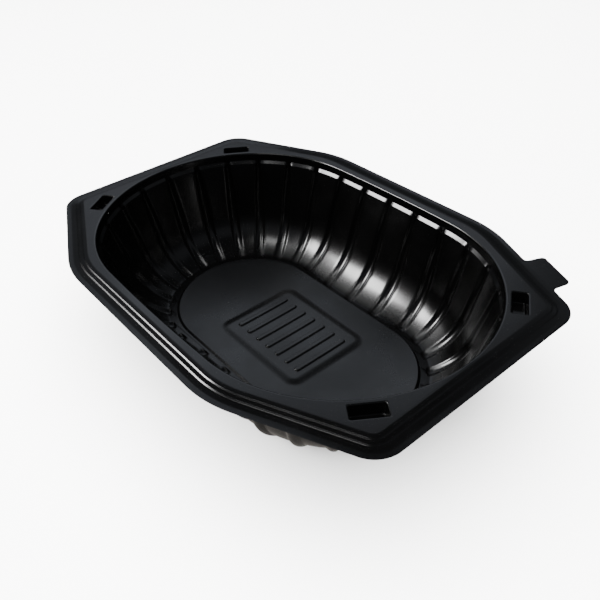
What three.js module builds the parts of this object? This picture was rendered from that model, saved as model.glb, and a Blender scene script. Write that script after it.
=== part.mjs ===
// Base tray of a container for a whole roast chicken: one thin sheet of black plastic,
// formed into an octagonal rim, a long oval bowl with grooved walls, and a ribbed floor.
//
// Millimetres, +Z up. The origin is under the middle of the tray, on the surface it stands on.
// +X runs along the tray, and the lifting tab is on the rim's +X +Y taper.
//
// The bowl is a stadium in plan: two half circles about (+-FAN_X, 0), joined by the long sides.
// Its wall grooves stand on rays, parallel along the sides and fanned about those two centres.

import * as THREE from 'three';
import { mergeVertices } from 'three/addons/utils/BufferGeometryUtils.js';

// ---------------------------------------------------------------- driving dimensions

const SHEET = 0.6; // thickness of the formed sheet
const HEIGHT = 61; // from the groove ends, which the tray stands on, to the top of the rim

const OUTLINE = { // the rim's octagon, before its corners are rounded
  halfLength: 130,
  halfWidth: 92.4,
  endHalfWidth: 61.6, // half of the straight edge across each end
  sideHalfLength: 61, // half of the straight edge along each side
  endCornerRadius: 15,
  sideCornerRadius: 60,
};

const RIM_STEPS = [ // distance in from the outline, and how far below the rim's top
  { inset: 5.4, drop: 1.9 }, // the outer flange ends
  { inset: 5.8, drop: 0.95 },
  { inset: 7.8, drop: 0.95 }, // a narrow ledge
  { inset: 8.2, drop: 0 }, // the flat top begins
];

const TAB = { // lifting tab, measured along the taper from its corner with the long side
  start: 31.8,
  end: 56.4,
  tipEnd: 54.8,
  reach: 10.5,
  startRadius: 2,
  endRadius: 3.5,
  rootRadius: 2,
};

const FAN_X = 40; // centres of the bowl's two round ends
const FAN_STEP = 15; // degrees between the grooves of a round end
const SIDE_PITCH = 20; // between the grooves of a long side

const LIP = { radius: 78.2, chamfer: 0.8, bow: 0.7 }; // bow: how far the long side bulges out
const BAND = { topRadius: 77.4, bottomRadius: 77.2, drop: 4.5 }; // upright band under the lip
const SHOULDER = { radius: 75.8, drop: 6.2 }; // a narrow slope from the band to the grooved wall

const WALL = {
  draft: 15.5, // degrees off the vertical, above the curve
  footSlope: 25, // degrees off the horizontal, where the wall meets the foot
  footRadius: 47.6,
  footBow: -1,
  arcSteps: 6,
};

const GROOVE = { // depths are square to the wall
  shoulder: { halfMouth: 2.1, depth: 1.8 },
  wall: { halfMouth: 3.4, depth: 1.7 },
  floorShare: 0.4, // how much of the mouth's width its flat floor has
  dip: 1, // how far its end sinks below the foot's level band
  end: { radius: 45.2, halfMouth: 1.4 },
  sink: { radius: 46.4, halfMouth: 2.7 }, // where the floor starts to rise to that end
};

const FLOOR = { edgeRadius: 41.2, rise: 1, slopeWidth: 0.8 }; // raised inside the foot's band
const FLOOR_PANEL = { halfLength: 34, halfWidth: 26.5, corner: 8, slopeWidth: 2.5, rise: 0.7 };
const RIBS = { count: 7, pitch: 8.4, halfLength: 18, halfWidth: 1.7, slopeWidth: 0.5, rise: 0.8 };

const POCKET = { // blind pockets in the rim, square to the ray they stand on
  angle: 34.9,
  radius: 84.2,
  halfAcross: 7.9,
  halfAlong: 3.7,
  corner: 1,
  draftInset: 0.6,
  depth: 6,
};

const ARC_STEP = { corner: 12, small: 30, stadium: 9 }; // degrees for each straight piece
const FULL_ROUND = 0.98; // share of a box's half width that its corners' radius may take

// ---------------------------------------------------------------- heights

const FOOT_Z = SHEET + GROOVE.dip; // upper face of the sheet in the foot's level band
const FLOOR_Z = FOOT_Z + FLOOR.rise;
const PANEL_Z = FLOOR_Z + FLOOR_PANEL.rise;
const RIB_Z = PANEL_Z + RIBS.rise;
const SHOULDER_Z = HEIGHT - SHOULDER.drop;

const rad = THREE.MathUtils.degToRad;

// ---------------------------------------------------------------- outlines, all anticlockwise

// A polygon with rounded corners. Each corner is { x, y, r }; r may turn either way.
function roundedLoop(corners, stepDegrees) {
  const points = [];
  corners.forEach((corner, i) => {
    const at = new THREE.Vector2(corner.x, corner.y);
    const before = corners[(i + corners.length - 1) % corners.length];
    const after = corners[(i + 1) % corners.length];
    const arriving = new THREE.Vector2(at.x - before.x, at.y - before.y).normalize();
    const leaving = new THREE.Vector2(after.x - at.x, after.y - at.y).normalize();
    const turn = Math.atan2(arriving.cross(leaving), arriving.dot(leaving));
    const start = at.clone().addScaledVector(arriving, -corner.r * Math.tan(Math.abs(turn) / 2));
    const toCentre = new THREE.Vector2(-arriving.y, arriving.x).multiplyScalar(Math.sign(turn) * corner.r);
    const centre = start.clone().add(toCentre);
    const steps = Math.max(2, Math.round(THREE.MathUtils.radToDeg(Math.abs(turn)) / stepDegrees));
    for (let k = 0; k <= steps; k += 1) {
      points.push(start.clone().rotateAround(centre, turn * k / steps));
    }
  });
  return points;
}

// The rim's octagon, moved in by a distance, as eight rounded corners.
function octagonCorners(inset) {
  const { halfLength, halfWidth, endHalfWidth, sideHalfLength } = OUTLINE;
  const taper = Math.atan2(halfWidth - endHalfWidth, halfLength - sideHalfLength);
  const side = {
    x: sideHalfLength - inset * Math.tan(taper / 2),
    y: halfWidth - inset,
    r: OUTLINE.sideCornerRadius - inset,
  };
  const end = {
    x: halfLength - inset,
    y: endHalfWidth - inset * Math.tan((Math.PI / 2 - taper) / 2),
    r: OUTLINE.endCornerRadius - inset,
  };
  return [
    { ...end, y: -end.y }, end, side, { ...side, x: -side.x },
    { ...end, x: -end.x }, { ...end, x: -end.x, y: -end.y },
    { ...side, x: -side.x, y: -side.y }, { ...side, y: -side.y },
  ];
}

// The rim's outer edge: the octagon with the tab standing out of one taper.
function outerEdge() {
  const corners = octagonCorners(0);
  const [, end, side] = corners;
  const along = new THREE.Vector2(end.x - side.x, end.y - side.y).normalize();
  const out = new THREE.Vector2(-along.y, along.x);
  const place = (distance, reach, r) => ({
    x: side.x + along.x * distance + out.x * reach,
    y: side.y + along.y * distance + out.y * reach,
    r,
  });
  const tab = [
    place(TAB.end, 0, TAB.rootRadius),
    place(TAB.tipEnd, TAB.reach, TAB.endRadius),
    place(TAB.start, TAB.reach, TAB.startRadius),
    place(TAB.start, 0, TAB.rootRadius),
  ];
  return roundedLoop([corners[0], end, ...tab, ...corners.slice(2)], ARC_STEP.corner);
}

// A plain stadium about the two fan centres, for the edge of the raised floor.
function stadiumLoop(radius) {
  const points = [];
  const steps = Math.round(180 / ARC_STEP.stadium);
  [[FAN_X, -90], [-FAN_X, 90]].forEach(([centre, from]) => {
    for (let k = 0; k <= steps; k += 1) {
      const angle = rad(from + 180 * k / steps);
      points.push(new THREE.Vector2(centre + radius * Math.cos(angle), radius * Math.sin(angle)));
    }
  });
  return points;
}

const QUARTERS = [[1, -1], [1, 1], [-1, 1], [-1, -1]];

// A box with rounded corners. The largest radius leaves a short straight edge between two corners.
function boxLoop(halfX, halfY, radius, stepDegrees) {
  const r = Math.min(radius, Math.min(halfX, halfY) * FULL_ROUND);
  return roundedLoop(QUARTERS.map(([sx, sy]) => ({ x: sx * halfX, y: sy * halfY, r })), stepDegrees);
}

function lift(points, z) {
  return points.map((p) => new THREE.Vector3(p.x, p.y, z));
}

// ---------------------------------------------------------------- rays that the bowl is built on

// The middle of each groove, anticlockwise from the +X end: where its ray starts, and its heading.
function grooveAxes() {
  const fan = (x, from, to) => {
    const axes = [];
    for (let heading = from; heading <= to; heading += FAN_STEP) axes.push({ x, heading });
    return axes;
  };
  const side = (direction, heading) => {
    const axes = [];
    for (let x = -FAN_X; x <= FAN_X; x += SIDE_PITCH) axes.push({ x: x * direction, heading });
    return axes;
  };
  return [
    ...fan(FAN_X, 0, 90 - FAN_STEP), ...side(-1, 90),
    ...fan(-FAN_X, 90 + FAN_STEP, 270 - FAN_STEP), ...side(1, 270),
    ...fan(FAN_X, 270 + FAN_STEP, 360 - FAN_STEP),
  ];
}

// One ray: where it starts, its heading, its place across a groove's mouth (-1 and 1 are the
// edges), whether it runs in the groove's floor (1) or not (0), and how much of the long side's
// bow it takes (1 in the middle of the side, 0 at the round ends).
function makeRay(x, headingDegrees, across, deep) {
  const heading = rad(headingDegrees);
  const direction = new THREE.Vector2(Math.cos(heading), Math.sin(heading));
  const bow = Math.max(0, 1 - (x / FAN_X) ** 2);
  return { x, direction, across, deep, bow };
}

// Five rays for each groove: its two mouth edges, its two floor edges, and the middle of the
// wall panel before the next groove.
function makeRays() {
  const axes = grooveAxes();
  return axes.flatMap((axis, i) => {
    const next = axes[(i + 1) % axes.length];
    const nextHeading = next.heading < axis.heading ? next.heading + 360 : next.heading;
    return [
      makeRay(axis.x, axis.heading, -1, 0),
      makeRay(axis.x, axis.heading, -GROOVE.floorShare, 1),
      makeRay(axis.x, axis.heading, GROOVE.floorShare, 1),
      makeRay(axis.x, axis.heading, 1, 0),
      makeRay((axis.x + next.x) / 2, (axis.heading + nextHeading) / 2, 0, 0),
    ];
  });
}

// The loop at one level of the bowl. The grooves are sunk square to the wall, whose outward
// normal leans down by the level's tilt.
function bowlRing(rays, { radius, z, bow, halfMouth, depth = 0, tilt = 0 }) {
  return rays.map(({ x, direction, across, deep, bow: bowShare }) => {
    const reach = radius + bow * bowShare + depth * deep * Math.cos(tilt);
    const shift = across * halfMouth;
    return new THREE.Vector3(
      x + direction.x * reach - direction.y * shift,
      direction.y * reach + direction.x * shift,
      z - depth * deep * Math.sin(tilt),
    );
  });
}

// ---------------------------------------------------------------- the wall's profile

// Levels of the grooved wall: straight down from the shoulder at the draft angle, then one arc
// that meets the foot's band at the foot's slope. The grooves run on into the band and end there.
function wallLevels() {
  const draft = rad(90 - WALL.draft);
  const slope = rad(WALL.footSlope);
  const drop = SHOULDER_Z - FOOT_Z;
  const lean = 1 / Math.tan(draft);
  const arcWidth = Math.sin(draft) - Math.sin(slope);
  const arcHeight = Math.cos(slope) - Math.cos(draft);
  const arcRadius = (SHOULDER.radius - WALL.footRadius - drop * lean) / (arcWidth - arcHeight * lean);
  const centre = {
    radius: WALL.footRadius - arcRadius * Math.sin(slope),
    z: FOOT_Z + arcRadius * Math.cos(slope),
  };
  const bowAt = (z) => THREE.MathUtils.lerp(LIP.bow, WALL.footBow, (SHOULDER_Z - z) / drop);
  const top = { radius: SHOULDER.radius, z: SHOULDER_Z, bow: LIP.bow, ...GROOVE.shoulder };
  const arc = Array.from({ length: WALL.arcSteps + 1 }, (_, k) => {
    const share = k / WALL.arcSteps;
    const angle = THREE.MathUtils.lerp(draft, slope, share);
    const z = centre.z - arcRadius * Math.cos(angle);
    return {
      radius: centre.radius + arcRadius * Math.sin(angle),
      z,
      bow: bowAt(z),
      halfMouth: GROOVE.wall.halfMouth,
      depth: THREE.MathUtils.lerp(GROOVE.wall.depth, GROOVE.dip / Math.cos(slope), share),
      tilt: Math.PI / 2 - angle,
    };
  });
  const inBand = { z: FOOT_Z, bow: WALL.footBow, tilt: Math.PI / 2 };
  return [
    top, ...arc,
    { ...inBand, ...GROOVE.sink, depth: GROOVE.dip },
    { ...inBand, ...GROOVE.end },
  ];
}

// ---------------------------------------------------------------- surface patches

// A ribbon between two loops of equal length, the first one outside or above the second.
function ribbon(outer, inner) {
  return outer.flatMap((a, i) => {
    const k = (i + 1) % outer.length;
    return [[a, outer[k], inner[k]], [a, inner[k], inner[i]]];
  });
}

function ribbons(loops) {
  return loops.slice(1).flatMap((loop, i) => ribbon(loops[i], loop));
}

// A level patch inside one loop and outside any number of others.
function levelPatch(outer, holes = []) {
  const points = [outer, ...holes].flat();
  const faces = THREE.ShapeUtils.triangulateShape(outer, holes);
  return faces.map(([a, b, c]) => {
    const [p, q, r] = [points[a], points[b], points[c]];
    const area = (q.x - p.x) * (r.y - p.y) - (r.x - p.x) * (q.y - p.y);
    return area > 0 ? [p, q, r] : [p, r, q];
  });
}

// ---------------------------------------------------------------- sub-parts of the upper face

function rimFaces(lipLoop, pocketMouths) {
  const steps = RIM_STEPS.map(({ inset, drop }) => (
    lift(roundedLoop(octagonCorners(inset), ARC_STEP.corner), HEIGHT - drop)
  ));
  const flange = levelPatch(lift(outerEdge(), HEIGHT - RIM_STEPS[0].drop), [steps[0]]);
  const top = levelPatch(steps.at(-1), [lipLoop, ...pocketMouths]);
  return [...flange, ...ribbons(steps), ...top];
}

// The loops of one pocket, its mouth first. sx and sy pick the quarter of the rim.
function pocketLoops(sx, sy) {
  const heading = Math.atan2(sy * Math.sin(rad(POCKET.angle)), sx * Math.cos(rad(POCKET.angle)));
  const middle = new THREE.Vector2(sx * FAN_X, 0)
    .add(new THREE.Vector2(Math.cos(heading), Math.sin(heading)).multiplyScalar(POCKET.radius));
  const loop = (inset, z) => lift(
    boxLoop(POCKET.halfAlong - inset, POCKET.halfAcross - inset, POCKET.corner, ARC_STEP.small)
      .map((p) => p.rotateAround(new THREE.Vector2(), heading).add(middle)),
    z,
  );
  return [loop(0, HEIGHT), loop(POCKET.draftInset, HEIGHT - POCKET.depth)];
}

function pocketFaces(loops) {
  return [...ribbons(loops), ...levelPatch(loops.at(-1))];
}

// Lip, upright band, shoulder and grooved wall, down to the foot.
function bowlLoops(rays) {
  const { halfMouth } = GROOVE.shoulder;
  const upper = [
    { radius: LIP.radius, z: HEIGHT, bow: LIP.bow, halfMouth },
    { radius: BAND.topRadius, z: HEIGHT - LIP.chamfer, bow: LIP.bow, halfMouth },
    { radius: BAND.bottomRadius, z: HEIGHT - BAND.drop, bow: LIP.bow, halfMouth },
  ];
  return [...upper, ...wallLevels()].map((level) => bowlRing(rays, level));
}

// The foot's level band, the floor raised inside it, and the panel with its drain ribs.
function floorFaces(footLoop) {
  const bandEdge = lift(stadiumLoop(FLOOR.edgeRadius + FLOOR.slopeWidth), FOOT_Z);
  const floorEdge = lift(stadiumLoop(FLOOR.edgeRadius), FLOOR_Z);
  const { halfLength, halfWidth, corner } = FLOOR_PANEL;
  const panel = (inset, z) => (
    lift(boxLoop(halfLength - inset, halfWidth - inset, corner - inset, ARC_STEP.small), z)
  );
  const panelLow = panel(0, FLOOR_Z);
  const panelHigh = panel(FLOOR_PANEL.slopeWidth, PANEL_Z);
  const firstRib = -RIBS.pitch * (RIBS.count - 1) / 2;
  const ribs = Array.from({ length: RIBS.count }, (_, i) => ribLoops(firstRib + i * RIBS.pitch));
  return [
    ...levelPatch(footLoop, [bandEdge]),
    ...ribbon(bandEdge, floorEdge),
    ...levelPatch(floorEdge, [panelLow]),
    ...ribbon(panelLow, panelHigh),
    ...levelPatch(panelHigh, ribs.map(([low]) => low)),
    ...ribs.flatMap(([low, high]) => [...ribbon(low, high), ...levelPatch(high)]),
  ];
}

// One rib across the panel, with rounded ends: the loop at its root and the one at its top.
function ribLoops(x) {
  const loop = (inset, z) => lift(
    boxLoop(RIBS.halfWidth - inset, RIBS.halfLength - inset, RIBS.halfWidth, ARC_STEP.small)
      .map((p) => p.add(new THREE.Vector2(x, 0))),
    z,
  );
  return [loop(0, PANEL_Z), loop(RIBS.slopeWidth, RIB_Z)];
}

function upperFace() {
  const bowl = bowlLoops(makeRays());
  const pockets = QUARTERS.map(([sx, sy]) => pocketLoops(sx, sy));
  return [
    ...rimFaces(bowl[0], pockets.map(([mouth]) => mouth)),
    ...pockets.flatMap(pocketFaces),
    ...ribbons(bowl),
    ...floorFaces(bowl.at(-1)),
  ];
}

// ---------------------------------------------------------------- from a face to a sheet

const SLIVER = 0.01; // twice the area, in square millimetres, under which a face has no clear normal
const SOFTENING = 0.02; // keeps the step short where the faces around a vertex are all level
const WELD = 1e-4; // points this close are one

// For each vertex, the step that lies one sheet thickness behind all the faces that meet there.
function stepsThroughSheet(positions, triangles) {
  const sums = positions.map(() => ({ push: new THREE.Vector3(), spread: Array(9).fill(0) }));
  triangles.forEach((corners) => {
    const [a, b, c] = corners.map((i) => positions[i]);
    const normal = b.clone().sub(a).cross(c.clone().sub(a));
    if (normal.length() < SLIVER) return;
    const parts = normal.normalize().toArray();
    corners.forEach((i) => {
      sums[i].push.add(normal);
      parts.forEach((p, row) => parts.forEach((q, column) => {
        sums[i].spread[row * 3 + column] += p * q;
      }));
    });
  });
  return sums.map(({ push, spread }) => {
    const solve = new THREE.Matrix3().set(...spread);
    [0, 4, 8].forEach((k) => { solve.elements[k] += SOFTENING; });
    return push.clone().applyMatrix3(solve.invert()).multiplyScalar(-SHEET);
  });
}

// Edges that only one triangle uses, in the direction that triangle runs them.
function openEdges(triangles) {
  const edges = new Map();
  triangles.forEach(([a, b, c]) => [[a, b], [b, c], [c, a]].forEach(([from, to]) => {
    const back = `${to}_${from}`;
    if (edges.has(back)) edges.delete(back);
    else edges.set(`${from}_${to}`, [from, to]);
  }));
  return [...edges.values()];
}

function thicken(faces) {
  const soup = new THREE.BufferGeometry().setFromPoints(faces.flat());
  const welded = mergeVertices(soup, WELD);
  const place = welded.getAttribute('position');
  const point = (i) => new THREE.Vector3().fromBufferAttribute(place, i);
  const positions = Array.from({ length: place.count }, (_, i) => point(i));
  const triangles = faces.map((_, i) => [0, 1, 2].map((k) => welded.index.getX(3 * i + k)));
  const steps = stepsThroughSheet(positions, triangles);
  const under = positions.map((p, i) => p.clone().add(steps[i]));
  under.forEach((p) => { p.z = Math.max(p.z, 0); }); // the groove ends stay level with the ground
  const n = positions.length;
  const index = [
    ...triangles.flat(),
    ...triangles.flatMap(([a, b, c]) => [a + n, c + n, b + n]),
    ...openEdges(triangles).flatMap(([a, b]) => [a, a + n, b + n, a, b + n, b]),
  ];
  const geometry = new THREE.BufferGeometry().setFromPoints([...positions, ...under]);
  geometry.setIndex(index);
  geometry.computeVertexNormals();
  return geometry;
}

// ---------------------------------------------------------------- the part

function makeTray() {
  const blackPlastic = new THREE.MeshStandardMaterial({ color: 0x111214, roughness: 0.22, metalness: 0 });
  const tray = new THREE.Mesh(thicken(upperFace()), blackPlastic);
  tray.name = 'tray';
  return tray;
}

const part = new THREE.Group();
part.add(makeTray());

export default part;
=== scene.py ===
"""A black formed-plastic tray for a whole roast chicken, dressed for a studio picture.

One thin sheet: an octagonal rim with two low steps and a lifting tab, four blind pockets for the
lid, a deep oval bowl with grooved walls, and a floor with a low panel of drain ribs.
"""

import math

import bmesh
import bpy
from bpy.props import (
    FloatProperty, FloatVectorProperty, IntProperty, PointerProperty, StringProperty,
)
from mathutils import Matrix, Vector
from mathutils.geometry import delaunay_2d_cdt, tessellate_polygon
from mathutils.kdtree import KDTree


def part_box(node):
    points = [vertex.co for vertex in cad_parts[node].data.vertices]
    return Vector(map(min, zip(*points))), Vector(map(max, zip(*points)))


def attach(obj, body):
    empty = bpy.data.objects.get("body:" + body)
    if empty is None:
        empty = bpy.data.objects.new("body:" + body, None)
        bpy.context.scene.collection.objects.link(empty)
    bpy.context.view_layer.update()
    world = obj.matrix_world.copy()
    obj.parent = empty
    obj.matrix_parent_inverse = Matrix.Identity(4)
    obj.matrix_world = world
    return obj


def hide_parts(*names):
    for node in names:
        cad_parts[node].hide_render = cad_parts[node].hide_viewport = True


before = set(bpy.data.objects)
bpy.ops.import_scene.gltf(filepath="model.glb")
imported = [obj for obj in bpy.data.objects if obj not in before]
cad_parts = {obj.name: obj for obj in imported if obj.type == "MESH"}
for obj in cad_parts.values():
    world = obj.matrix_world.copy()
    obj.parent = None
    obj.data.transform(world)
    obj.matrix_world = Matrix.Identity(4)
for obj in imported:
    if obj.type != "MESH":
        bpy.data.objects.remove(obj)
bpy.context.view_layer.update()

bl_info = {
    "name": "Roast Chicken Tray",
    "version": (1, 0, 0),
    "blender": (4, 5, 0),
    "location": "View3D > Sidebar > Tray",
    "description": "Builds a formed black plastic tray and the studio it stands in",
    "category": "Add Mesh",
}

MM = 0.001
_, TRAY_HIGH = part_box("tray")
HEIGHT = TRAY_HIGH.z
SHEET = 0.6 * MM  # the sheet's thickness
WELD = 0.002 * MM  # points nearer than this are joined

RIGHT_ANGLE = math.pi / 2
TURN = 2 * math.pi


# ---------------------------------------------------------------- settings

def length(name, description, millimetres):
    """A length that the user may change, given here in millimetres."""
    return FloatProperty(
        name=name, description=description, default=millimetres * MM, unit="LENGTH")


def angle(name, description, degrees):
    """An angle that the user may change, given here in degrees."""
    return FloatProperty(
        name=name, description=description, default=math.radians(degrees), subtype="ANGLE")


class RimSizes(bpy.types.PropertyGroup):
    """Sizes of the octagonal rim. Insets are measured in from its outer edge."""

    half_length: FloatProperty(
        name="Half length", description="Middle of the tray to the rim's end",
        default=TRAY_HIGH.x, unit="LENGTH")
    half_width: FloatProperty(
        name="Half width", description="Middle of the tray to the rim's long side",
        default=TRAY_HIGH.y, unit="LENGTH")
    end_half_width: length("End half width", "Half of the straight edge across each end", 61.6)
    side_half_length: length("Side half length", "Half of the straight edge along each side", 61)
    end_corner: length("End corner radius", "Radius of the four sharper corners", 15)
    side_corner: length("Side corner radius", "Radius of the four blunter corners", 60)
    flange_drop: length("Flange drop", "Rim's top down to the outer flange", 1.9)
    flange_flat: length("Flange flat", "Where the flange begins to climb to the first step", 2.8)
    flange_rise: length("Flange rise", "How far the flange climbs towards the first step", 0.4)
    ledge_drop: length("Ledge drop", "Rim's top down to the narrow ledge's outer edge", 1)
    ledge_rise: length("Ledge rise", "How far the ledge climbs towards the second step", 0.34)
    top_drop: length("Top drop", "Rim's top down to its own outer edge", 0.22)
    flange_inset: length("Flange inset", "Where the flange meets the first step", 5.6)
    ledge_inset: length("Ledge inset", "Where the ledge's outer edge is", 6.15)
    riser_inset: length("Riser inset", "Where the second step rises from the ledge", 8)
    top_inset: length("Top inset", "Where the flat top's outer edge is", 8.5)
    top_run: length("Top run", "Width over which the top's edge eases down", 1.9)
    edge_radius: length("Edge radius", "Rounding of the raised edges", 0.27)
    flange_root: length("Flange root", "Rounding at the foot of the first step", 0.8)
    ledge_root: length("Ledge root", "Rounding at the foot of the second step", 0.3)


class TabSizes(bpy.types.PropertyGroup):
    """Sizes of the lifting tab, measured along the taper from its corner with the long side."""

    start: length("Start", "Near side of the tab", 31.8)
    end: length("End", "Far side of the tab at its root", 56.4)
    tip_end: length("Tip end", "Far side of the tab at its tip", 54.8)
    reach: length("Reach", "How far the tab stands out", 10.5)
    start_radius: length("Near corner radius", "Rounding of the tip's near corner", 2)
    end_radius: length("Far corner radius", "Rounding of the tip's far corner", 3.5)
    root_radius: length("Root radius", "Rounding where the tab leaves the rim", 2)


class BowlSizes(bpy.types.PropertyGroup):
    """Sizes of the stadium-shaped bowl. Radii are measured from its two fan centres."""

    fan: length("Fan centre", "Middle of the tray to each fan centre", 40)
    lip_radius: length("Lip radius", "Radius of the bowl's mouth", 77.8)
    lip_rounding: length("Lip rounding", "Rounding of the mouth's edge", 0.9)
    band_radius: length("Band radius", "Radius at the foot of the upright band", 77.2)
    band_drop: length("Band drop", "Rim's top down to the foot of the band", 4.5)
    shoulder_radius: length("Shoulder radius", "Radius where the grooved wall begins", 75.8)
    shoulder_drop: length("Shoulder drop", "Rim's top down to the grooved wall", 6.2)
    draft: angle("Draft", "Lean of the upper wall off the vertical", 15.5)
    foot_slope: angle("Foot slope", "Slope of the wall where it meets the foot", 25)
    foot_radius: length("Foot radius", "Radius where the wall meets the foot", 48.2)
    lip_bow: length("Lip bow", "How far the long side bulges out at the mouth", 0.7)
    foot_bow: length("Foot bow", "How far the long side bulges out at the foot", -2.4)


class GrooveSizes(bpy.types.PropertyGroup):
    """Sizes of the wall grooves. Depths are square to the wall."""

    per_fan: IntProperty(
        name="Grooves per right angle", description="Steps in each quarter fan", default=6)
    pitch: length("Side pitch", "Distance between grooves on a long side", 20)
    top_half_mouth: length("Half mouth at the top", "Half the groove's width at the shoulder", 2.1)
    half_mouth: length("Half mouth", "Half the groove's width on the wall", 3.4)
    widening: length("Widening", "How far below the shoulder the groove is fully wide", 26)
    top_depth: length("Depth at the top", "Groove's depth at the shoulder", 1.8)
    depth: length("Depth", "Groove's depth on the wall", 1.75)
    dip: length("Dip", "How far the groove's end sinks below the foot", 1)
    end_radius: length("End radius", "Radius where the groove ends", 46.2)


class FloorSizes(bpy.types.PropertyGroup):
    """Sizes of the raised floor, its low panel and the drain ribs."""

    edge_radius: length("Edge radius", "Radius of the raised floor's edge", 42)
    edge_slope: length("Edge slope", "Width of the floor's edge", 1.1)
    rise: length("Rise", "Foot up to the floor's edge where it has warped up most", 2.2)
    least_rise: length("Least rise", "Foot up to the floor's edge where it has stayed low", 0.7)
    sink: length("Sink", "Foot down to the middle of the floor", 0.9)
    panel_half_length: length("Panel half length", "Half of the low panel, along the tray", 35)
    panel_half_width: length("Panel half width", "Half of the low panel, across the tray", 28)
    panel_corner: length("Panel corner", "Radius of the panel's corners", 8)
    panel_slope: length("Panel slope", "Width of the panel's soft edge", 5.5)
    panel_rise: length("Panel rise", "Floor up to the panel", 0.8)
    rib_count: IntProperty(name="Ribs", description="Drain ribs on the panel", default=7)
    rib_pitch: length("Rib pitch", "Distance between drain ribs", 8.4)
    rib_half_length: length("Rib half length", "Half of a rib's length", 18)
    rib_half_width: length("Rib half width", "Half of a rib's width", 1.7)
    rib_slope: length("Rib slope", "Width of a rib's side", 0.5)
    rib_rise: length("Rib rise", "Panel up to a rib's top", 0.8)


class PocketSizes(bpy.types.PropertyGroup):
    """Sizes of the four blind pockets in the rim."""

    heading: angle("Heading", "Turn of the pocket's ray off the long axis", 34.9)
    radius: length("Radius", "Fan centre to the pocket's middle", 84.2)
    half_across: length("Half across", "Half of the pocket's longer side", 7.9)
    half_along: length("Half along", "Half of the pocket's shorter side", 3.7)
    corner: length("Corner", "Radius of the pocket's corners", 1)
    draft: length("Draft", "How much narrower the pocket is at its floor, on each side", 0.6)
    depth: length("Depth", "Rim's top down to the pocket's floor", 6)


class PlasticFinish(bpy.types.PropertyGroup):
    """Colours and gloss of the black sheet."""

    black: StringProperty(
        name="Sheet colour", description="Colour of the plastic, sRGB hex", default="#010101")
    dust: StringProperty(
        name="Dust colour", description="Colour of the dust specks, sRGB hex", default="#6A6A68")
    roughness: FloatProperty(
        name="Roughness", description="Roughness of the clean sheet", default=0.17)
    floor_dullness: FloatProperty(
        name="Floor dullness", description="Roughness added on the bowl's floor", default=0.1)
    grain: length("Grain", "Spacing of the rolled sheet's fine texture", 0.45)
    ripple: length("Ripple", "Spacing of the soft waves left by forming", 22)
    dust_spacing: length("Dust spacing", "Average distance between dust specks", 11)
    dust_size: length("Dust size", "Radius of the largest dust specks", 0.3)


class StudioSettings(bpy.types.PropertyGroup):
    """The floor, the lights and the camera."""

    floor: StringProperty(
        name="Floor colour", description="Colour of the floor, sRGB hex", default="#F8F8F7")
    room_strength: FloatProperty(
        name="Room strength", description="Brightness of the room", default=1.0)
    back_tint: FloatVectorProperty(
        name="Back tint", description="Cool tint of the lights behind the tray",
        default=(0.9, 0.965, 1.09), subtype="COLOR", min=0, max=2)
    target: FloatVectorProperty(
        name="Camera target", description="Point that the camera looks at",
        default=(37.37 * MM, -21.83 * MM, HEIGHT - 1.9 * MM), unit="LENGTH")
    distance: length("Camera distance", "Target to camera", 315.08)
    azimuth: angle("Camera azimuth", "Turn of the camera round the tray", 51.478)
    elevation: angle("Camera elevation", "Height of the camera above the horizon", 38.392)
    roll: angle("Camera roll", "Lean of the camera", -2.915)
    lens: FloatProperty(name="Lens", description="Focal length on a 36 mm sensor", default=40.38)


SETTINGS = {
    "tray_rim": RimSizes,
    "tray_tab": TabSizes,
    "tray_bowl": BowlSizes,
    "tray_groove": GrooveSizes,
    "tray_floor": FloorSizes,
    "tray_pocket": PocketSizes,
    "tray_plastic": PlasticFinish,
    "tray_studio": StudioSettings,
}


# ---------------------------------------------------------------- outlines, all anticlockwise

def rounded_loop(corners, steps):
    """A polygon whose corners (x, y, radius, steps share) are rounded, as 2-D points."""
    points = []
    for i, (x, y, radius, share) in enumerate(corners):
        at = Vector((x, y))
        arriving = (at - Vector(corners[i - 1][:2])).normalized()
        leaving = (Vector(corners[(i + 1) % len(corners)][:2]) - at).normalized()
        turn = math.atan2(arriving.cross(leaving), arriving.dot(leaving))
        start = at - arriving * radius * math.tan(abs(turn) / 2)
        side = math.copysign(radius, turn)
        centre = start + Vector((-arriving.y, arriving.x)) * side
        count = max(2, round(steps * share))
        for k in range(count + 1):
            points.append(centre + Matrix.Rotation(turn * k / count, 2) @ (start - centre))
    return points


def octagon(rim, inset):
    """The rim's eight corners, moved in by inset."""
    taper = math.atan2(rim.half_width - rim.end_half_width, rim.half_length - rim.side_half_length)
    side = (rim.side_half_length - inset * math.tan(taper / 2), rim.half_width - inset,
            rim.side_corner - inset, 0.5)
    end = (rim.half_length - inset,
           rim.end_half_width - inset * math.tan((RIGHT_ANGLE - taper) / 2),
           rim.end_corner - inset, 1)

    def mirrored(corner, sx, sy):
        """The same corner in another quarter."""
        return (corner[0] * sx, corner[1] * sy, *corner[2:])

    return [
        mirrored(end, 1, -1), end, side, mirrored(side, -1, 1),
        mirrored(end, -1, 1), mirrored(end, -1, -1), mirrored(side, -1, -1), mirrored(side, 1, -1),
    ]


def outer_edge(rim, tab, steps):
    """The rim's outer edge, with the tab standing out of its +X +Y taper."""
    corners = octagon(rim, 0)
    end, side = Vector(corners[1][:2]), Vector(corners[2][:2])
    along = (end - side).normalized()
    out = Vector((-along.y, along.x))

    def place(distance, reach, radius):
        """A rounded corner, that far along the taper and that far out of it."""
        return (*(side + along * distance + out * reach), radius, 0.5)

    tab_corners = [
        place(tab.end, 0, tab.root_radius),
        place(tab.tip_end, tab.reach, tab.end_radius),
        place(tab.start, tab.reach, tab.start_radius),
        place(tab.start, 0, tab.root_radius),
    ]
    return rounded_loop([corners[0], corners[1], *tab_corners, *corners[2:]], steps)


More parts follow.
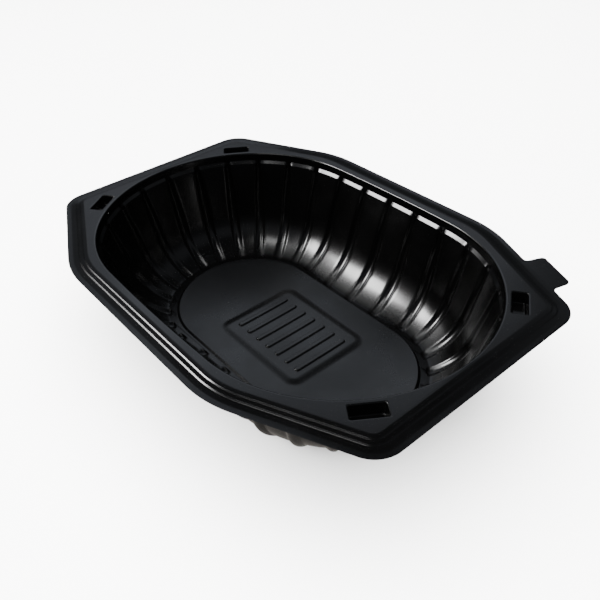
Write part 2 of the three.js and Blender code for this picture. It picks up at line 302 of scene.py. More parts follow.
def rounded_box(half_x, half_y, radius, steps):
    """A rectangle with rounded corners, which never quite meet."""
    most = 0.98
    radius = min(radius, half_x * most, half_y * most)
    signs = ((1, -1), (1, 1), (-1, 1), (-1, -1))
    return rounded_loop([(sx * half_x, sy * half_y, radius, 1) for sx, sy in signs], steps)


def encloses(outline, p):
    """Whether a closed outline goes round a point."""
    inside = False
    for a, b in zip(outline, [*outline[1:], outline[0]]):
        if (a.y > p.y) != (b.y > p.y) and p.x < a.x + (b.x - a.x) * (p.y - a.y) / (b.y - a.y):
            inside = not inside
    return inside


def spaced(outline, step):
    """The same closed outline, with its long straights divided."""
    points = []
    for a, b in zip(outline, [*outline[1:], outline[0]]):
        count = max(1, round((b - a).length / step))
        points += [a.lerp(b, k / count) for k in range(count)]
    return points


def rounded_path(stations, steps=6):
    """A profile of (across, z, radius) stations with its bends rounded, as (across, z) points."""
    points = [Vector(stations[0][:2])]
    for (x0, z0, _), (x1, z1, radius), (x2, z2, _) in zip(stations, stations[1:], stations[2:]):
        at = Vector((x1, z1))
        arriving = (at - Vector((x0, z0))).normalized()
        leaving = (Vector((x2, z2)) - at).normalized()
        turn = math.atan2(arriving.cross(leaving), arriving.dot(leaving))
        start = at - arriving * radius * math.tan(abs(turn) / 2)
        centre = start + Vector((-arriving.y, arriving.x)) * math.copysign(radius, turn)
        for k in range(steps + 1):
            points.append(centre + Matrix.Rotation(turn * k / steps, 2) @ (start - centre))
    points.append(Vector(stations[-1][:2]))
    return points


# ---------------------------------------------------------------- the sheet's mesh

class Sheet:
    """A surface that grows loop by loop. Loops run anticlockwise, and its faces look up."""

    def __init__(self):
        self.points, self.faces = [], []

    def loop(self, outline, z):
        """Adds a level loop and returns its vertex numbers."""
        return self.free_loop([(p[0], p[1], z) for p in outline])

    def free_loop(self, points):
        """Adds a loop of (x, y, z) points and returns its vertex numbers."""
        first = len(self.points)
        self.points.extend(points)
        return list(range(first, len(self.points)))

    def ribbon(self, outer, inner):
        """Joins two loops of the same length."""
        count = len(outer)
        for i in range(count):
            k = (i + 1) % count
            self.faces.append((outer[i], outer[k], inner[k], inner[i]))

    def ribbons(self, loops):
        """Joins each loop to the next."""
        for outer, inner in zip(loops, loops[1:]):
            self.ribbon(outer, inner)

    def patch(self, outer, holes=()):
        """Fills a level loop, leaving the holes open."""
        loops = [outer, *holes]
        numbers = [n for loop in loops for n in loop]
        corners = [[Vector(self.points[n]) for n in loop] for loop in loops]
        for triangle in tessellate_polygon(corners):
            a, b, c = (numbers[i] for i in triangle)
            pa, pb, pc = (Vector(self.points[n]) for n in (a, b, c))
            up = (pb - pa).cross(pc - pa).z > 0
            self.faces.append((a, b, c) if up else (a, c, b))

    def bending_patch(self, outer, holes, spacing):
        """Fills a level loop as patch does, with points inside it so that the fill can be bent."""
        loops = [outer, *holes]
        numbers = [n for loop in loops for n in loop]
        flat = [Vector(self.points[n][:2]) / MM for n in numbers]
        edges, first = [], 0
        for loop in loops:
            edges += [(first + i, first + (i + 1) % len(loop)) for i in range(len(loop))]
            first += len(loop)
        step = spacing / MM
        clearance = 0.6 * step  # from the borders to the points inside them
        border = KDTree(len(flat))
        for i, p in enumerate(flat):
            border.insert(p.to_3d(), i)
        border.balance()
        half_x, half_y = (max(abs(p[axis]) for p in flat) for axis in (0, 1))
        for i in range(-int(half_x / step), int(half_x / step) + 1):
            for k in range(-int(half_y / step), int(half_y / step) + 1):
                p = Vector((i * step, k * step))
                if border.find(p.to_3d())[2] > clearance:
                    flat.append(p)
        inside_borders, nearness = 1, 1e-5  # the kind of fill, and how near two points are one
        borders = [[Vector(self.points[n][:2]) / MM for n in loop] for loop in loops]
        places, _, triangles, origins, _, _ = delaunay_2d_cdt(
            flat, edges, [], inside_borders, nearness)
        z = self.points[outer[0]][2]
        known = {}
        for triangle in triangles:
            middle = sum((places[k] for k in triangle), Vector((0, 0))) / 3
            if sum(encloses(loop, middle) for loop in borders) != 1:
                continue
            for k in triangle:
                if k not in known:
                    source = min(origins[k])
                    known[k] = (numbers[source] if source < len(numbers)
                                else self.free_loop([(places[k].x * MM, places[k].y * MM, z)])[0])
            self.faces.append(tuple(known[k] for k in triangle))

    def terrace(self, outline_at, path):
        """Loops of outline_at(inset) at each (inset, z) of a path, joined up."""
        loops = [self.loop(outline_at(inset), z) for inset, z in path]
        self.ribbons(loops)
        return loops


# ---------------------------------------------------------------- the rim

CORNER_STEPS = 20  # faces round a full corner
SUPPORT = 0.25 * MM  # a loop this far inside a flat keeps the roundings' shading off it


def build_rim(sheet, rim, tab):
    """Flange, tab and the two steps. Returns the loop where the flat top begins."""
    flange, ledge, top = HEIGHT - rim.flange_drop, HEIGHT - rim.ledge_drop, HEIGHT
    flange_start, first_climb, climb_bend = rim.flange_inset * 0.1, rim.flange_rise * 0.15, 4 * MM
    top_start, top_bend, top_margin = rim.top_inset + rim.top_run, 6 * MM, 0.8 * MM
    path = rounded_path([
        (flange_start, flange, 0),
        (rim.flange_flat, flange + first_climb, climb_bend),
        (rim.flange_inset, flange + rim.flange_rise, rim.flange_root),
        (rim.ledge_inset, ledge, rim.edge_radius),
        (rim.riser_inset, ledge + rim.ledge_rise, rim.ledge_root),
        (rim.top_inset, top - rim.top_drop, rim.edge_radius),
        (top_start, top, top_bend),
        (top_start + top_margin, top, 0),
    ])
    steps = sheet.terrace(lambda inset: rounded_loop(octagon(rim, inset), CORNER_STEPS), path)
    edge = sheet.loop(outer_edge(rim, tab, CORNER_STEPS), flange)
    sheet.patch(edge, [steps[0]])
    return steps[-1]


def build_pocket(sheet, pocket, fan, sx, sy):
    """One blind pocket, in the quarter that sx and sy pick. Returns the loop of its mouth."""
    heading = math.atan2(sy * math.sin(pocket.heading), sx * math.cos(pocket.heading))
    turn = Matrix.Rotation(heading, 2)
    middle = Vector((sx * fan, 0)) + turn @ Vector((pocket.radius, 0))

    def outline(inset):
        """The pocket's outline at that inset, turned to its ray."""
        box = rounded_box(pocket.half_along - inset, pocket.half_across - inset,
                          pocket.corner, steps=6)
        return [middle + turn @ p for p in box]

    bottom = HEIGHT - pocket.depth
    edge, root = 0.6 * MM, 0.7 * MM
    path = rounded_path([
        (-edge - SUPPORT, HEIGHT, 0),
        (0, HEIGHT, edge),
        (pocket.draft, bottom, root),
        (pocket.draft + root + SUPPORT, bottom, 0),
    ])
    loops = sheet.terrace(outline, path)
    sheet.patch(loops[-1])
    return loops[0]


# ---------------------------------------------------------------- the bowl

GROOVE_SAMPLES = 16  # faces across each groove
PANEL_SAMPLES = 8  # faces across each panel between two grooves


class Stadium:
    """Places on stadiums about the fan centres, by distance walked anticlockwise from +X."""

    def __init__(self, fan):
        self.fan = fan

    def girth(self, radius):
        """The way once round the stadium of that radius."""
        return TURN * radius + 4 * self.fan

    def place(self, radius, walked):
        """(x, y, heading) at a distance walked along the stadium of that radius."""
        girth = self.girth(radius)
        walked %= girth
        half = girth / 2
        far = walked >= half
        if far:
            walked -= half
        quarter, side = radius * RIGHT_ANGLE, 2 * self.fan
        if walked <= quarter:
            heading = walked / radius
            x, y = self.fan + radius * math.cos(heading), radius * math.sin(heading)
        elif walked <= quarter + side:
            heading = RIGHT_ANGLE
            x, y = self.fan - (walked - quarter), radius
        else:
            heading = RIGHT_ANGLE + (walked - quarter - side) / radius
            x, y = -self.fan + radius * math.cos(heading), radius * math.sin(heading)
        return (-x, -y, heading + math.pi) if far else (x, y, heading)

    def axes(self, per_quarter, pitch):
        """Each groove's middle as (turn walked in fans, length walked on sides)."""
        step = RIGHT_ANGLE / per_quarter
        per_side = round(2 * self.fan / pitch)
        half = [(i * step, 0) for i in range(per_quarter + 1)]
        half += [(RIGHT_ANGLE, i * pitch) for i in range(1, per_side + 1)]
        half += [(RIGHT_ANGLE + i * step, 2 * self.fan) for i in range(1, per_quarter)]
        return half + [(turn + math.pi, length + 2 * self.fan) for turn, length in half]


def groove_section(across):
    """Depth share at a place across the groove, from -1 to 1: a round flute with eased edges."""
    flute = 0.84  # share of the half mouth that the round of the flute takes
    place = abs(across)
    if place <= flute:
        return 1 - place ** 2 / flute
    return (1 - place) ** 2 / (1 - flute)


def smooth(share):
    """Eases 0 to 1 with level ends."""
    share = min(max(share, 0), 1)
    return share * share * (3 - 2 * share)


def mix(a, b, share):
    """The value a share of the way from a to b."""
    return a + (b - a) * share


def bowl_levels(bowl, groove):
    """The bowl's levels from lip to foot.

    Each is the wall's (radius, z), the groove floor's (radius, z), the groove's half mouth and how
    far the long side bows out.
    """
    foot_z = SHEET + groove.dip
    shoulder_z = HEIGHT - bowl.shoulder_drop
    drop = shoulder_z - foot_z
    draft, slope = RIGHT_ANGLE - bowl.draft, bowl.foot_slope
    lean = math.tan(bowl.draft)
    arc_width, arc_height = math.sin(draft) - math.sin(slope), math.cos(slope) - math.cos(draft)
    arc_reach = bowl.shoulder_radius - bowl.foot_radius - drop * lean
    arc_radius = arc_reach / (arc_width - arc_height * lean)
    centre = Vector((bowl.foot_radius - arc_radius * math.sin(slope),
                     foot_z + arc_radius * math.cos(slope)))

    levels = []

    def add(wall, groove_floor, half_mouth):
        """One more level, bowed by how far down the wall it is."""
        bow = mix(bowl.lip_bow, bowl.foot_bow, min(max((shoulder_z - wall[1]) / drop, 0), 1))
        levels.append((wall, groove_floor, half_mouth, bow))

    # the lip and the upright band, where the groove hasn't begun
    lip = rounded_path([
        (-bowl.lip_radius - bowl.lip_rounding - SUPPORT, HEIGHT, 0),
        (-bowl.lip_radius, HEIGHT, bowl.lip_rounding),
        (-bowl.band_radius, HEIGHT - bowl.band_drop, 0),
    ], steps=7)
    band_top, band_foot = lip[-2:]
    for p in lip[:-1]:
        add((-p.x, p.y), (-p.x, p.y), groove.top_half_mouth)
    for share in (0.3, 0.6):
        p = band_top.lerp(band_foot, share)
        add((-p.x, p.y), (-p.x, p.y), groove.top_half_mouth)

    # the shoulder's slope on the wall, and the band running straight down into the groove
    settled = 1.6 * MM  # how far below the shoulder the plain wall begins
    below = Vector((-bowl.shoulder_radius + lean * settled, shoulder_z - settled))
    groove_top = band_top.lerp(band_foot, 0.85)
    shoulder = rounded_path([
        (*groove_top, 0),
        (*band_foot, 0.5 * MM),
        (-bowl.shoulder_radius, shoulder_z, 0.7 * MM),
        (*below, 0),
    ], steps=5)
    groove_low = Vector((below.x - groove.top_depth * math.cos(bowl.draft),
                         below.y - groove.top_depth * math.sin(bowl.draft)))
    for k, p in enumerate(shoulder):
        share = k / (len(shoulder) - 1)
        q = groove_top.lerp(groove_low, share)
        add((-p.x, p.y), (-q.x, q.y), groove.top_half_mouth)

    def wall(radius, z, tilt):
        """One more level of the grooved wall, where it leans by tilt."""
        fallen = (shoulder_z - z) / groove.widening
        depth = mix(groove.top_depth, groove.depth, smooth(fallen))
        near_foot = smooth((tilt - bowl.draft) / (RIGHT_ANGLE - slope - bowl.draft))
        depth = mix(depth, groove.dip / math.cos(slope), near_foot)
        half_mouth = mix(groove.top_half_mouth, groove.half_mouth, smooth(fallen))
        add((radius, z), (radius + depth * math.cos(tilt), z - depth * math.sin(tilt)), half_mouth)

    # the straight wall, then the arc into the foot
    arc_top = centre + arc_radius * Vector((math.sin(draft), -math.cos(draft)))
    straight = 12
    for k in range(1, straight):
        p = Vector((-below.x, below.y)).lerp(arc_top, k / straight)
        wall(p.x, p.y, bowl.draft)
    arc_steps = 18
    for k in range(arc_steps + 1):
        a = mix(draft, slope, k / arc_steps)
        p = centre + arc_radius * Vector((math.sin(a), -math.cos(a)))
        wall(p.x, p.y, RIGHT_ANGLE - a)

    # the groove runs on into the foot's level band and ends there, with a blunt round mouth
    length_left = bowl.foot_radius - groove.end_radius
    end_steps = 8
    least_mouth = 0.02
    for k in range(1, end_steps + 1):
        share = k / end_steps
        radius = bowl.foot_radius - length_left * share
        depth = groove.dip * (1 - share ** 6)
        half_mouth = groove.half_mouth * math.sqrt(max(1 - share ** 3, least_mouth))
        add((radius, foot_z), (radius, foot_z - depth), half_mouth)
    return levels


def build_bowl(sheet, bowl, groove):
    """The grooved bowl, from its lip to the foot's band. Returns its first and last loops."""
    stadium = Stadium(bowl.fan)
    axes = stadium.axes(groove.per_fan, groove.pitch)
    loops = []
    for (wall_r, wall_z), (floor_r, floor_z), half_mouth, bow in bowl_levels(bowl, groove):
        girth = stadium.girth(wall_r)
        middles = [turn * wall_r + length for turn, length in axes]
        points = []
        for i, middle in enumerate(middles):
            following = middles[i + 1] if i + 1 < len(middles) else middles[0] + girth
            places = []
            for k in range(GROOVE_SAMPLES + 1):
                across = mix(-1, 1, k / GROOVE_SAMPLES)
                places.append((middle + across * half_mouth, groove_section(across)))
            low, high = middle + half_mouth, following - half_mouth
            places += [(mix(low, high, k / PANEL_SAMPLES), 0) for k in range(1, PANEL_SAMPLES)]
            for walked, share in places:
                x, y, heading = stadium.place(wall_r, walked)
                bulge = bow * max(0, 1 - (x / bowl.fan) ** 2)
                out = bulge + (floor_r - wall_r) * share
                points.append((x + out * math.cos(heading), y + out * math.sin(heading),
                               mix(wall_z, floor_z, share)))
        loops.append(sheet.free_loop(points))
    sheet.ribbons(loops)
    return loops[0], loops[-1]


# ---------------------------------------------------------------- the floor

FLOOR_SPACING = 3 * MM  # between the points inside the floor's fills


def build_floor(sheet, bowl, groove, floor, foot_loop):
    """The foot's band, the dished floor inside it, the low panel and its drain ribs."""
    foot_z = SHEET + groove.dip
    floor_z = foot_z - floor.sink
    panel_z = floor_z + floor.panel_rise
    stadium = Stadium(bowl.fan)
    edge_steps = 240
    warp_across, warp_along = 0.54, 0.22

    def rise_at(x, y):
        """The edge's height over the foot. Cooling has warped the floor up towards -X +Y."""
        warp = (0.5 + warp_across * y / floor.edge_radius
                - warp_along * x / (bowl.fan + floor.edge_radius))
        return mix(floor.least_rise, floor.rise, smooth(warp))

    def dish(x, y):
        """How far the dished floor climbs from its middle to a place."""
        radius = math.hypot(max(abs(x) - bowl.fan, 0), y)
        return (rise_at(x, y) + floor.sink) * (radius / floor.edge_radius) ** 3

    def edge_outline(inset):
        """The raised floor's edge at that inset."""
        radius = floor.edge_radius + floor.edge_slope - inset
        girth = stadium.girth(radius)
        return [stadium.place(radius, girth * k / edge_steps)[:2] for k in range(edge_steps)]

    # the edge's profile, drawn at one rise and scaled to each place's own, then the loop that the
    # floor's fill hangs on
    drawn_rise = 1.3 * MM
    profile = rounded_path([
        (-0.3 * MM, 0, 0),
        (0, 0, 0.4 * MM),
        (floor.edge_slope, drawn_rise, 0.6 * MM),
        (floor.edge_slope + 0.7 * MM, 1.2 * MM, 0),
    ])
    edge = []
    for inset, height in profile:
        edge.append(sheet.free_loop([(x, y, foot_z + height / drawn_rise * rise_at(x, y))
                                     for x, y in edge_outline(inset)]))
    first = len(sheet.points)
    edge.append(sheet.loop(edge_outline(floor.edge_slope + 1.2 * MM), floor_z))
    sheet.ribbons(edge)
    sheet.patch(foot_loop, [edge[0]])

    def panel_outline(inset):
        """The low panel's edge at that inset."""
        return spaced(rounded_box(floor.panel_half_length - inset, floor.panel_half_width - inset,
                                  floor.panel_corner - inset, steps=10), FLOOR_SPACING)

    slope_steps = 8
    panel_path = [(-SUPPORT, floor_z)]
    for k in range(slope_steps + 1):
        share = k / slope_steps
        panel_path.append((floor.panel_slope * share, mix(floor_z, panel_z, smooth(share))))
    panel_path.append((floor.panel_slope + SUPPORT, panel_z))
    panel = sheet.terrace(panel_outline, panel_path)
    sheet.bending_patch(edge[-1], [panel[0]], FLOOR_SPACING)

    mouths = []
    for i in range(floor.rib_count):
        x = (i - (floor.rib_count - 1) / 2) * floor.rib_pitch
        mouths.append(build_rib(sheet, floor, x, panel_z))
    sheet.bending_patch(panel[-1], mouths, FLOOR_SPACING)

    # all this was laid flat, and is now bent up into the dish
    for n in range(first, len(sheet.points)):
        x, y, z = sheet.points[n]
        sheet.points[n] = (x, y, z + dish(x, y))


def build_rib(sheet, floor, x, panel_z):
    """One round-ended drain rib across the panel. Returns the loop at its root."""
    def outline(inset):
        """The rib's outline at that inset."""
        half = floor.rib_half_width - inset
        box = spaced(rounded_box(half, floor.rib_half_length - inset, half, steps=8), FLOOR_SPACING)
        return [p + Vector((x, 0)) for p in box]

    loops = sheet.terrace(outline, rounded_path([
        (-0.35 * MM, panel_z, 0),
        (0, panel_z, 0.3 * MM),
        (floor.rib_slope, panel_z + floor.rib_rise, 0.6 * MM),
        (floor.rib_slope + 0.5 * MM, panel_z + floor.rib_rise, 0),
    ]))
    sheet.patch(loops[-1])
    return loops[0]


# ---------------------------------------------------------------- materials

def linear(hex_colour):
    """An sRGB hex colour as linear RGBA."""
    channels = [int(hex_colour[i:i + 2], 16) / 255 for i in (1, 3, 5)]
    return (*(c / 12.92 if c <= 0.04045 else ((c + 0.055) / 1.055) ** 2.4 for c in channels), 1.0)


def add_node(tree, kind, links=None, **settings):
    """Adds a node, sets its properties and unlinked inputs, and links the rest."""
    node = tree.nodes.new(kind)
    for name, value in settings.items():
        setattr(node, name, value)
    for socket, value in (links or {}).items():
        target = node.inputs[socket]
        if isinstance(value, bpy.types.NodeSocket):
            tree.links.new(value, target)
        else:
            target.default_value = value
    return node


def glossy_black_sheet(finish):
    """Black polypropylene, rolled to a gloss and vacuum formed.

    The roll gives it a sharp, dark shine with a trace of grain. Forming leaves slow ripples that
    bend the reflected lights, and its static charge holds a few specks of dust.
    """
    material = bpy.data.materials.new("black_polypropylene_gloss_formed")
    material.use_nodes = True
    tree = material.node_tree
    tree.nodes.clear()
    place = add_node(tree, "ShaderNodeTexCoord").outputs["Object"]

    # cells one dust spacing wide, each with a speck of its own size somewhere in it
    cells = add_node(tree, "ShaderNodeTexVoronoi", {
        "Vector": place, "Scale": 1 / finish.dust_spacing})
    speck_size = finish.dust_size / finish.dust_spacing
    pick = add_node(tree, "ShaderNodeSeparateColor", {"Color": cells.outputs["Color"]})
    # only the cells picked near the top of the draw hold a speck that shows
    size = add_node(tree, "ShaderNodeMapRange", {
        "Value": pick.outputs[0], "From Min": 0.86, "From Max": 1.0,
        "To Min": 0.0, "To Max": speck_size})
    inside = add_node(tree, "ShaderNodeMath", {0: cells.outputs["Distance"], 1: size.outputs[0]},
                      operation="LESS_THAN")
    colour = add_node(tree, "ShaderNodeMix", {
        "Factor": inside.outputs[0], "A": linear(finish.black), "B": linear(finish.dust)},
        data_type="RGBA")

    # the forming heat leaves the gloss a little uneven over a few centimetres
    clouds = add_node(tree, "ShaderNodeTexNoise", {
        "Vector": place, "Scale": 1 / (30 * MM), "Detail": 3.0})
    cloudy = add_node(tree, "ShaderNodeMapRange", {
        "Value": clouds.outputs["Fac"], "From Min": 0.35, "From Max": 0.65,
        "To Min": finish.roughness - 0.03, "To Max": finish.roughness + 0.04})
    # the roll's fine grain, which only breaks the gloss up a little. The real one is finer than the
    # picture can show, so it is drawn coarser
    grain = add_node(tree, "ShaderNodeTexNoise", {
        "Vector": place, "Scale": 1 / finish.grain, "Detail": 2.0})
    grainy = add_node(tree, "ShaderNodeMath", {
        0: grain.outputs["Fac"], 1: 0.05, 2: cloudy.outputs[0]}, operation="MULTIPLY_ADD")
    # the bowl's floor touches the mould last and keeps a duller skin than the wall and the rim
    level = add_node(tree, "ShaderNodeSeparateXYZ", {"Vector": place})
    dull = add_node(tree, "ShaderNodeMapRange", {
        "Value": level.outputs["Z"], "From Min": 3.5 * MM, "From Max": 9 * MM,
        "To Min": finish.floor_dullness, "To Max": 0.0})
    gloss = add_node(tree, "ShaderNodeMath", {0: grainy.outputs[0], 1: dull.outputs[0]},
                     operation="ADD")
    # a speck of dust has no shine
    roughness = add_node(tree, "ShaderNodeMix", {
        "Factor": inside.outputs[0], "A": gloss.outputs[0], "B": 0.8}, data_type="FLOAT")

    # slow waves, a quarter of a millimetre deep at the most
    ripple = add_node(tree, "ShaderNodeTexNoise", {
        "Vector": place, "Scale": 1 / finish.ripple, "Detail": 1.0})
    bumps = add_node(tree, "ShaderNodeBump", {
        "Height": ripple.outputs["Fac"], "Strength": 0.3, "Distance": 0.25 * MM})

    shader = add_node(tree, "ShaderNodeBsdfPrincipled", {
        "Base Color": colour.outputs["Result"], "Roughness": roughness.outputs["Result"],
        "IOR": 1.49, "Metallic": 0.0, "Normal": bumps.outputs["Normal"]})
    add_node(tree, "ShaderNodeOutputMaterial", {"Surface": shader.outputs[0]})
    return material


def matt_pale_floor(studio):
    """Pale matt paper sweep: even, soft and without a shine."""
    material = bpy.data.materials.new("pale_paper_matt")
    material.use_nodes = True
    shader = material.node_tree.nodes["Principled BSDF"]
    shader.inputs["Base Color"].default_value = linear(studio.floor)
    shader.inputs["Roughness"].default_value = 0.9
    shader.inputs["Specular IOR Level"].default_value = 0.2
    return material


# ---------------------------------------------------------------- operators

CUT_SLANT = 0.8 * MM  # how far in the cut edge's lower corner is
CREASE = math.radians(50)  # edges that bend more than this stay crisp


class TRAY_OT_form_sheet(bpy.types.Operator):
    """Forms the tray's sheet: rim, tab, pockets, bowl, grooves and floor"""

    bl_idname = "tray.form_sheet"
    bl_label = "Form the tray"

    def execute(self, context):
        scene = context.scene
        sheet = Sheet()
        top = build_rim(sheet, scene.tray_rim, scene.tray_tab)
        quarters = ((1, 1), (-1, 1), (-1, -1), (1, -1))
        mouths = [build_pocket(sheet, scene.tray_pocket, scene.tray_bowl.fan, sx, sy)
                  for sx, sy in quarters]
        lip, foot = build_bowl(sheet, scene.tray_bowl, scene.tray_groove)
        sheet.patch(top, [lip, *mouths])
        build_floor(sheet, scene.tray_bowl, scene.tray_groove, scene.tray_floor, foot)

        mesh = bpy.data.meshes.new("formed_tray")
        mesh.from_pydata([tuple(p) for p in sheet.points], [], sheet.faces)
        mesh.validate()
        self.weld(mesh)
        tray = bpy.data.objects.new("formed_tray", mesh)
        scene.collection.objects.link(tray)
        thickness = tray.modifiers.new("sheet thickness", "SOLIDIFY")
        thickness.thickness = SHEET
        thickness.offset = -1
        thickness.use_quality_normals = True
        border = self.border_points(mesh)
        upper_count = len(mesh.vertices)
        self.bake_modifiers(context, tray)
        self.slant_cut(tray.data, [upper_count + n for n in border])
        tray.data.shade_smooth()
        tray.data.set_sharp_from_angle(angle=CREASE)
        tray.data.materials.append(glossy_black_sheet(scene.tray_plastic))
        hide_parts("tray")
        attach(tray, "root")
        return {"FINISHED"}

    @staticmethod
    def weld(mesh):
        """Joins the points that fall together, so no face is left without an area."""
        work = bmesh.new()
        work.from_mesh(mesh)
        bmesh.ops.remove_doubles(work, verts=work.verts, dist=WELD)
        bmesh.ops.dissolve_degenerate(work, edges=work.edges, dist=WELD)
        work.to_mesh(mesh)
        work.free()

    @staticmethod
    def border_points(mesh):
        """The points on the sheet's open border, before it has a thickness."""
        uses = {}
        for face in mesh.polygons:
            for key in face.edge_keys:
                uses[key] = uses.get(key, 0) + 1
        return {n for key, count in uses.items() if count == 1 for n in key}

    @staticmethod
    def slant_cut(mesh, lower_border):
        """Draws the cut edge's lower corner in, as the trimming knife leaves it."""
        for n in lower_border:
            corner = mesh.vertices[n].co
            corner.xy *= 1 - CUT_SLANT / corner.xy.length

    @staticmethod
    def bake_modifiers(context, piece):
        """Turns the piece's modifiers into its own mesh, and rests it on the ground."""
        formed = piece.evaluated_get(context.evaluated_depsgraph_get())
        made = bpy.data.meshes.new_from_object(formed)
        piece.modifiers.clear()
        old, piece.data = piece.data, made
        bpy.data.meshes.remove(old)
        made.name = piece.name
        for vertex in made.vertices:
            vertex.co.z = max(vertex.co.z, 0)


# the room's shade by height, from straight down (0) past the horizon (0.5) to straight up (1): the
# grey that the gloss sees in place of the over-lit paper, dark walls, a paler band, a dark ceiling
ROOM_BAND = [
    (0.0, (0.36, 0.335, 0.31, 1)),
    (0.32, (0.62, 0.58, 0.535, 1)),
    (0.46, (0.026, 0.029, 0.033, 1)),
    (0.5, (0.026, 0.029, 0.033, 1)),
    (0.69, (0.052, 0.056, 0.063, 1)),
    (0.75, (0.168, 0.18, 0.2, 1)),
    (0.83, (0.168, 0.18, 0.2, 1)),
    (0.89, (0.03, 0.034, 0.038, 1)),
]

# soft lights that only the gloss shows: name, azimuth, elevation, distance, width and height,
# radiance
GLOSS_LIGHTS = [
    ("key_core", -42.5, 33.5, 1.2, (0.34, 0.32), 32),
    ("key_softbox", -43.5, 34, 1.2, (0.45, 0.4), 13),
    ("key_halo", -50, 34, 1.2, (0.85, 0.7), 2.2),
    ("high_strip", 2, 60, 1.2, (0.5, 0.2), 10),
    ("back_panel", -128, 36.5, 1.2, (1.05, 0.49), 0.38),
    ("back_core", -126, 45, 1.2, (0.7, 0.5), 0.6),
    ("back_low", -112, 13, 1.2, (0.75, 0.34), 0.22),
]
# the wide light that only the paper and the dust show
TOP_LIGHT = ("top_softbox", -20, 82, 1.4, (3.0, 3.0), 18)
LIGHT_TARGET = (0, 0, 0.03)


def aim(obj, place, target, roll=0.0):
    """Puts an object at a place, looking at the target."""
    turn = (Vector(place) - Vector(target)).to_track_quat("Z", "Y").to_matrix()
    obj.matrix_world = Matrix.Translation(place) @ (turn @ Matrix.Rotation(roll, 3, "Z")).to_4x4()


def heading_to(azimuth, elevation):
    """The unit vector towards an azimuth (0 is -Y, 90 degrees is +X) and elevation, in radians."""
    return Vector((math.sin(azimuth) * math.cos(elevation),
                   -math.cos(azimuth) * math.cos(elevation),
                   math.sin(elevation)))


def add_softbox(context, name, azimuth, elevation, distance, size, radiance):
    """A soft panel light, aimed at the tray. radiance is how bright its face looks."""
    light = bpy.data.lights.new(name, "AREA")
    light.shape = "RECTANGLE"
    light.size, light.size_y = size
    light.energy = radiance * size[0] * size[1] * math.pi
    lamp = bpy.data.objects.new(name, light)
    context.scene.collection.objects.link(lamp)
    place = heading_to(math.radians(azimuth), math.radians(elevation)) * distance
    aim(lamp, place, LIGHT_TARGET)
    return lamp


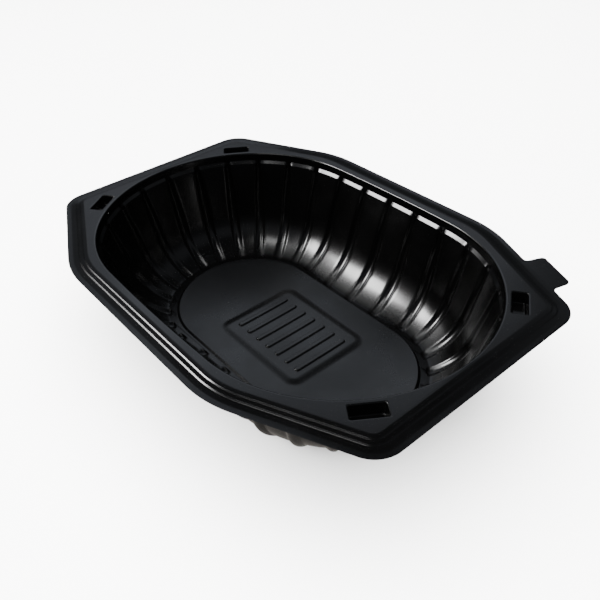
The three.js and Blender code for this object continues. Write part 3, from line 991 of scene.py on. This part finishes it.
class TRAY_OT_set_stage(bpy.types.Operator):
    """Sets the pale floor, the soft lights and the camera"""

    bl_idname = "tray.set_stage"
    bl_label = "Set the stage"

    def execute(self, context):
        studio = context.scene.tray_studio
        self.lay_floor(context, studio)
        self.light_room(context, studio)
        self.place_camera(context, studio)
        return {"FINISHED"}

    @staticmethod
    def lay_floor(context, studio):
        """Lays the sheet of paper that the tray stands on."""
        mesh = bpy.data.meshes.new("paper_floor")
        reach = 4.0
        corners = [(-reach, -reach, 0), (reach, -reach, 0), (reach, reach, 0), (-reach, reach, 0)]
        mesh.from_pydata(corners, [], [(0, 1, 2, 3)])
        floor = bpy.data.objects.new("paper_floor", mesh)
        context.scene.collection.objects.link(floor)
        mesh.materials.append(matt_pale_floor(studio))
        # it is lit past white, and its glare would turn the black wall grey
        floor.visible_glossy = False

    @staticmethod
    def light_room(context, studio):
        """Shades the room and sets up the soft lights."""
        world = bpy.data.worlds.new("soft_room")
        world.use_nodes = True
        tree = world.node_tree
        place = add_node(tree, "ShaderNodeTexCoord").outputs["Generated"]
        height = add_node(tree, "ShaderNodeSeparateXYZ", {"Vector": place}).outputs["Z"]
        share = add_node(tree, "ShaderNodeMath", {0: height, 1: 0.5, 2: 0.5},
                         operation="MULTIPLY_ADD")
        band = add_node(tree, "ShaderNodeValToRGB", {"Fac": share.outputs["Value"]})
        ramp = band.color_ramp
        ramp.interpolation = "EASE"
        ramp.elements[0].position, ramp.elements[0].color = ROOM_BAND[0]
        ramp.elements[1].position, ramp.elements[1].color = ROOM_BAND[-1]
        for position, shade in ROOM_BAND[1:-1]:
            ramp.elements.new(position).color = shade
        back = tree.nodes["Background"]
        tree.links.new(band.outputs["Color"], back.inputs["Color"])
        back.inputs["Strength"].default_value = studio.room_strength
        context.scene.world = world

        for light in GLOSS_LIGHTS:
            lamp = add_softbox(context, *light)
            lamp.visible_diffuse = False
            if lamp.name.startswith("back"):
                lamp.data.color = studio.back_tint
        top = add_softbox(context, *TOP_LIGHT)
        top.visible_glossy = False

    @staticmethod
    def place_camera(context, studio):
        """Sets up the camera that took the picture."""
        data = bpy.data.cameras.new("studio_camera")
        data.lens = studio.lens
        data.sensor_width = 36
        data.clip_start = 0.01
        camera = bpy.data.objects.new("studio_camera", data)
        context.scene.collection.objects.link(camera)
        target = Vector(studio.target)
        back = heading_to(studio.azimuth, studio.elevation)
        aim(camera, target + back * studio.distance, target, studio.roll)
        context.scene.camera = camera


class TRAY_PT_workshop(bpy.types.Panel):
    """Lists the tray's operators and sizes"""

    bl_idname = "TRAY_PT_workshop"
    bl_label = "Roast Chicken Tray"
    bl_space_type = "VIEW_3D"
    bl_region_type = "UI"
    bl_category = "Tray"

    def draw(self, context):
        layout = self.layout
        layout.operator(TRAY_OT_form_sheet.bl_idname)
        layout.operator(TRAY_OT_set_stage.bl_idname)
        for name, group in SETTINGS.items():
            box = layout.box()
            box.label(text=name.replace("_", " "))
            for key in group.__annotations__:
                box.prop(getattr(context.scene, name), key)


CLASSES = (*SETTINGS.values(), TRAY_OT_form_sheet, TRAY_OT_set_stage, TRAY_PT_workshop)


def register():
    """Makes the settings, operators and panel known."""
    for cls in CLASSES:
        bpy.utils.register_class(cls)
    for name, group in SETTINGS.items():
        setattr(bpy.types.Scene, name, PointerProperty(type=group))


def unregister():
    """Takes them away again."""
    for name in SETTINGS:
        delattr(bpy.types.Scene, name)
    for cls in reversed(CLASSES):
        bpy.utils.unregister_class(cls)


def main():
    """Registers the add-on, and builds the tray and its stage."""
    register()
    bpy.ops.tray.form_sheet()
    bpy.ops.tray.set_stage()


if __name__ == "__main__":
    main()
